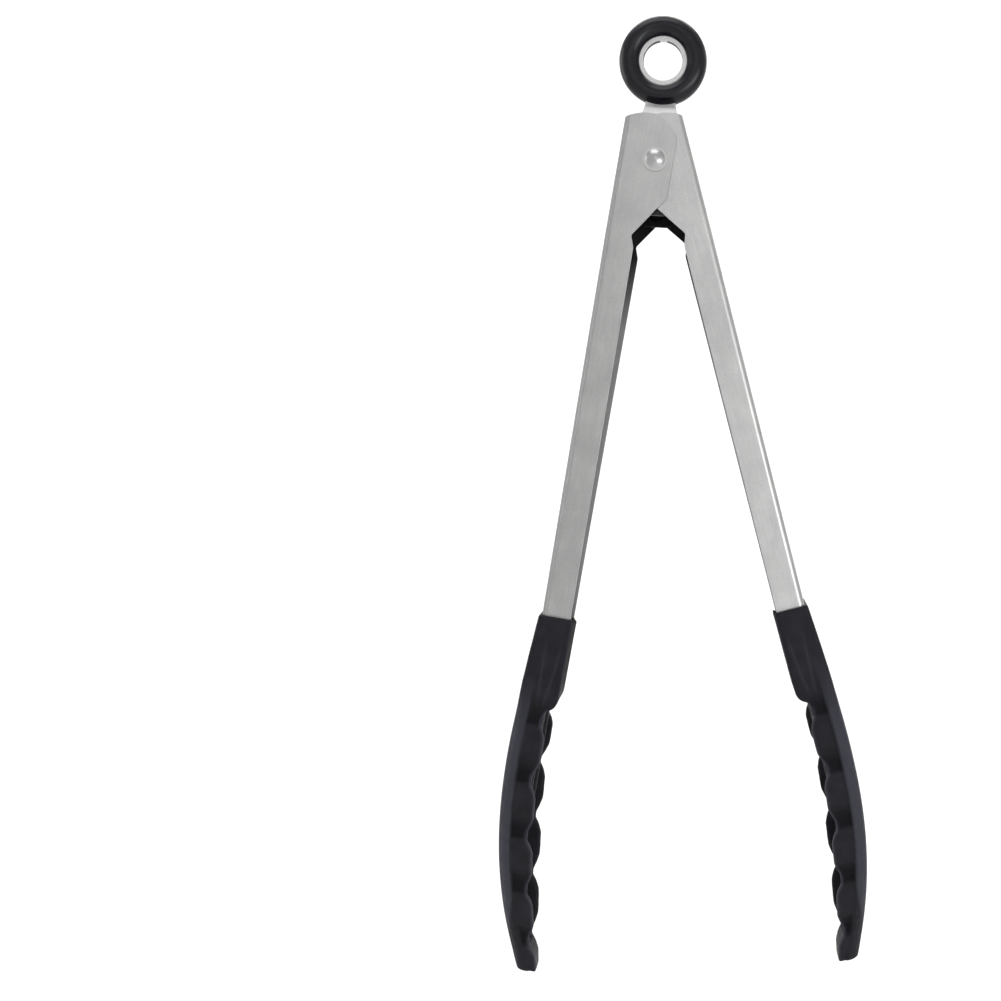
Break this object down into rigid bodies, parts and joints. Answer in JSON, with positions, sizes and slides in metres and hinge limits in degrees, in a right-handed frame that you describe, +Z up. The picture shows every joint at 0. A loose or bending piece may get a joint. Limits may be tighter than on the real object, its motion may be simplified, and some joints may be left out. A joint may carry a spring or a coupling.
{
  "type": "spring loaded kitchen tongs",
  "caption": "Spring loaded kitchen tongs: two steel channel arms on a rivet, scalloped silicone heads, a torsion spring, and a sliding lock tab with a ring to hang and lock them.",
  "frame": {"origin": "centre of the hanging hole in the ring, on the middle plane of the tongs", "axes": "+Z up along the length when hung by the ring, with the tips at the bottom; X across the open jaws; Y through the tongs from the domed front of the rivet to its back"},
  "size_m": [0.113, 0.0278, 0.29],
  "materials": {
    "arm_steel": "brushed along the arm",
    "tab_steel": "satin",
    "rivet_steel": "polished",
    "spring_wire": "drawn wire",
    "silicone": "matt",
    "ring_grip": "semi-gloss"
  },
  "bodies": {
    "lock_tab": {"lock_tab": "tab_steel", "ring_grip": "ring_grip"},
    "rivet": {"rivet": "rivet_steel"},
    "left_arm": {"left_arm": "arm_steel", "left_head": "silicone", "torsion_spring": "spring_wire"},
    "right_arm": {"right_arm": "arm_steel", "right_head": "silicone"}
  },
  "joints": [
    {"name": "lock_slide", "type": "slide", "parent": "lock_tab", "child": "rivet", "axis": [-0.0958, 0, -0.9954], "range_m": [0, 0.012]},
    {"name": "left_hinge", "type": "hinge", "parent": "rivet", "child": "left_arm", "pos_m": [-0.00302, 0, -0.03136], "axis": [0, -1, 0], "range_deg": [0, 5.3]},
    {"name": "arm_hinge", "type": "hinge", "parent": "left_arm", "child": "right_arm", "pos_m": [-0.00302, 0, -0.03136], "axis": [0, 1, 0], "range_deg": [0, 21.2], "stiffness_Nm_per_rad": 1.2, "springref_deg": -20.05, "deforming": ["torsion_spring"]}
  ],
  "couplings": [
    {"joint": "lock_slide", "follows": "arm_hinge", "m_per_rad": 0.03243},
    {"joint": "left_hinge", "follows": "arm_hinge", "ratio": 0.25}
  ]
}
